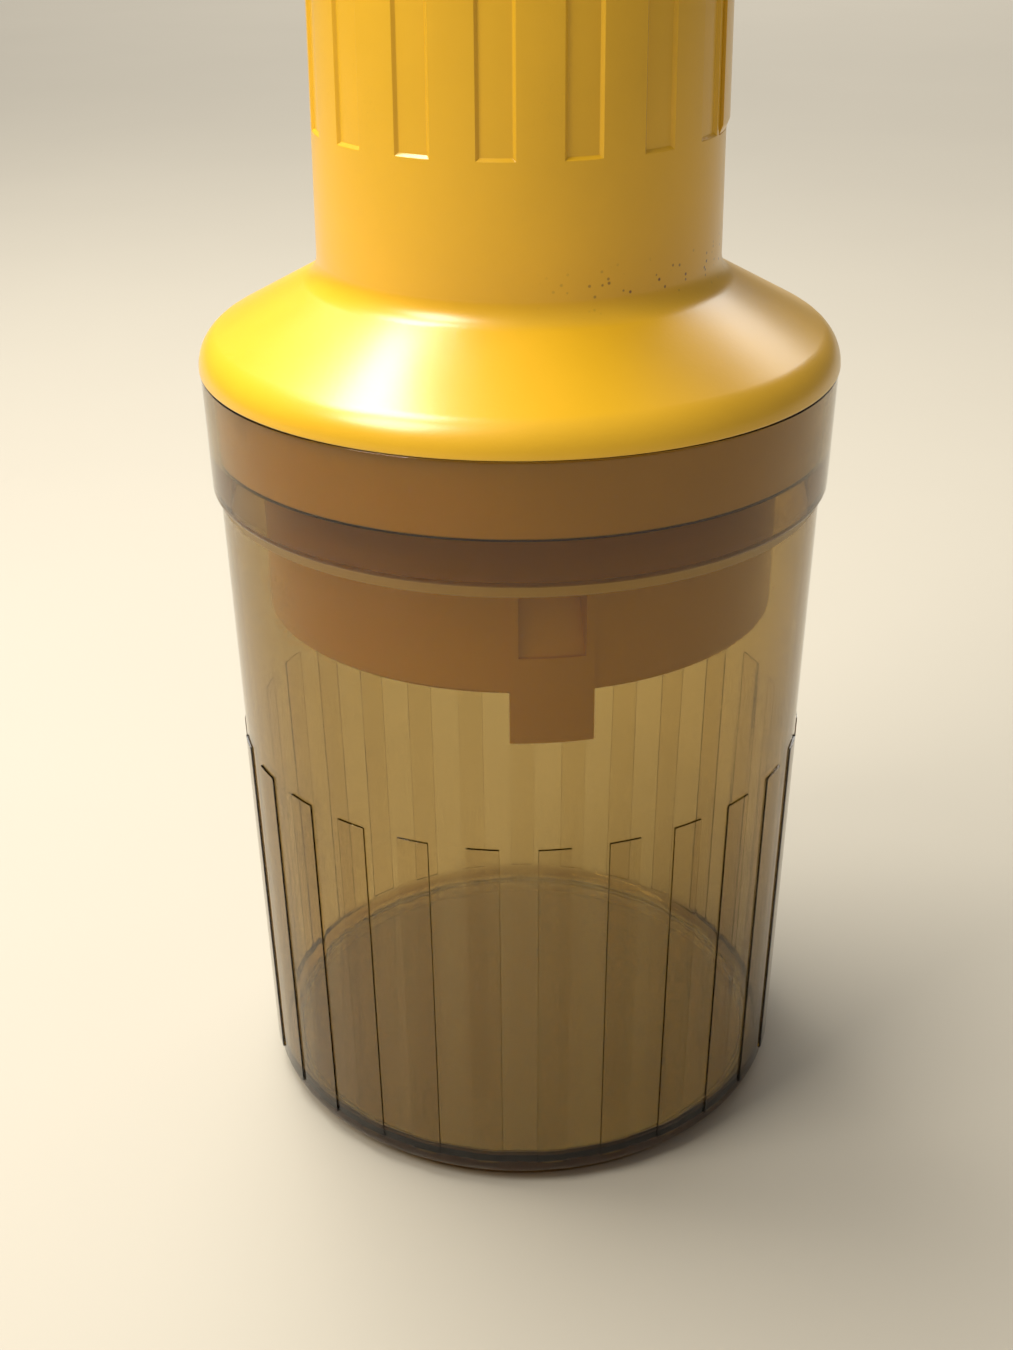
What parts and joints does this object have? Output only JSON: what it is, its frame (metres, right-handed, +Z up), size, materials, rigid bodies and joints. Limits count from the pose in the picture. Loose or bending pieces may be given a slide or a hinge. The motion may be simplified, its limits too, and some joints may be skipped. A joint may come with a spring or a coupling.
{
  "type": "electric grain mill",
  "caption": "Tower grain mill: fluted yellow motor head with a flared shoulder over a smoked, ribbed flour container, topped by a smoked grain hopper with a lid.",
  "frame": {"origin": "centre of the container's foot ring on the table", "axes": "+Z up along the mill's axis, -Y the front, +X the side with the switch panel"},
  "size_m": [0.165, 0.165, 0.4565],
  "materials": {
    "smoked_plastic": "glossy smoked plastic",
    "yellow_plastic": "satin moulded plastic",
    "black_plastic": "matte",
    "pale_plastic": "matte",
    "cast_metal": "as cast",
    "stone": "rough bonded stone",
    "steel": "turned",
    "copper": "enamelled",
    "carbon": "matte",
    "soft_rubber": "matte"
  },
  "bodies": {
    "container": {"flour_container": "smoked_plastic"},
    "head": {"motor_housing": "yellow_plastic", "switch_panel": "yellow_plastic", "switch_body": "black_plastic", "bed_carrier": "cast_metal", "bed_stone": "stone", "milling_chamber": "pale_plastic", "shaft_seal": "soft_rubber", "underside_cover": "yellow_plastic", "motor_plate": "cast_metal", "rubber_mounts": "soft_rubber", "lower_bearing": "steel", "stator_core": "steel", "field_coils": "copper", "motor_posts": "steel", "post_sleeves": "steel", "upper_bracket": "cast_metal", "brush_holders": "black_plastic", "carbon_brushes": "carbon", "grain_duct": "pale_plastic", "lift_spring": "steel", "hopper_shell": "yellow_plastic", "cable_gland": "black_plastic", "suppressor_capacitor": "pale_plastic", "terminal_block": "pale_plastic", "plate_screws": "steel", "ear_screws": "steel", "cover_screws": "steel", "column_screws": "steel", "shell_screws": "steel"},
    "hopper": {"grain_hopper": "smoked_plastic"},
    "lid": {"hopper_lid": "smoked_plastic", "lid_knob": "black_plastic", "knob_screw": "steel"},
    "ring": {"fineness_ring": "black_plastic"},
    "lift": {"lift_bridge": "cast_metal", "upper_bearing": "steel"},
    "rotor": {"motor_shaft": "steel", "shaft_nut": "steel", "armature_core": "steel", "armature_windings": "copper", "commutator": "copper", "cooling_fan": "black_plastic", "runner_carrier": "cast_metal", "runner_stone": "stone"},
    "rocker": {"rocker": "black_plastic"}
  },
  "joints": [
    {"name": "head_lift", "type": "slide", "parent": "container", "child": "head", "axis": [0, 0, 1], "range_m": [0, 0.082]},
    {"name": "hopper_lift", "type": "slide", "parent": "head", "child": "hopper", "axis": [0, 0, 1], "range_m": [0, 0.06]},
    {"name": "lid_lift", "type": "slide", "parent": "hopper", "child": "lid", "axis": [0, 0, 1], "range_m": [0, 0.04]},
    {"name": "ring_turn", "type": "hinge", "parent": "head", "child": "ring", "pos_m": [0, 0, 0.343], "axis": [0, 0, 1], "range_deg": [0, 270]},
    {"name": "rotor_lift", "type": "slide", "parent": "head", "child": "lift", "axis": [0, 0, 1], "range_m": [0, 0.0015], "deforming": ["lift_spring"]},
    {"name": "rotor_spin", "type": "hinge", "parent": "lift", "child": "rotor", "pos_m": [0, 0, 0.29], "axis": [0, 0, 1], "continuous": true},
    {"name": "rocker_press", "type": "hinge", "parent": "head", "child": "rocker", "pos_m": [0.04738, 0, 0.31815], "axis": [0, -1, 0], "range_deg": [0, 16]}
  ],
  "couplings": [
    {"joint": "rotor_lift", "follows": "ring_turn", "m_per_rad": 0.000318}
  ]
}
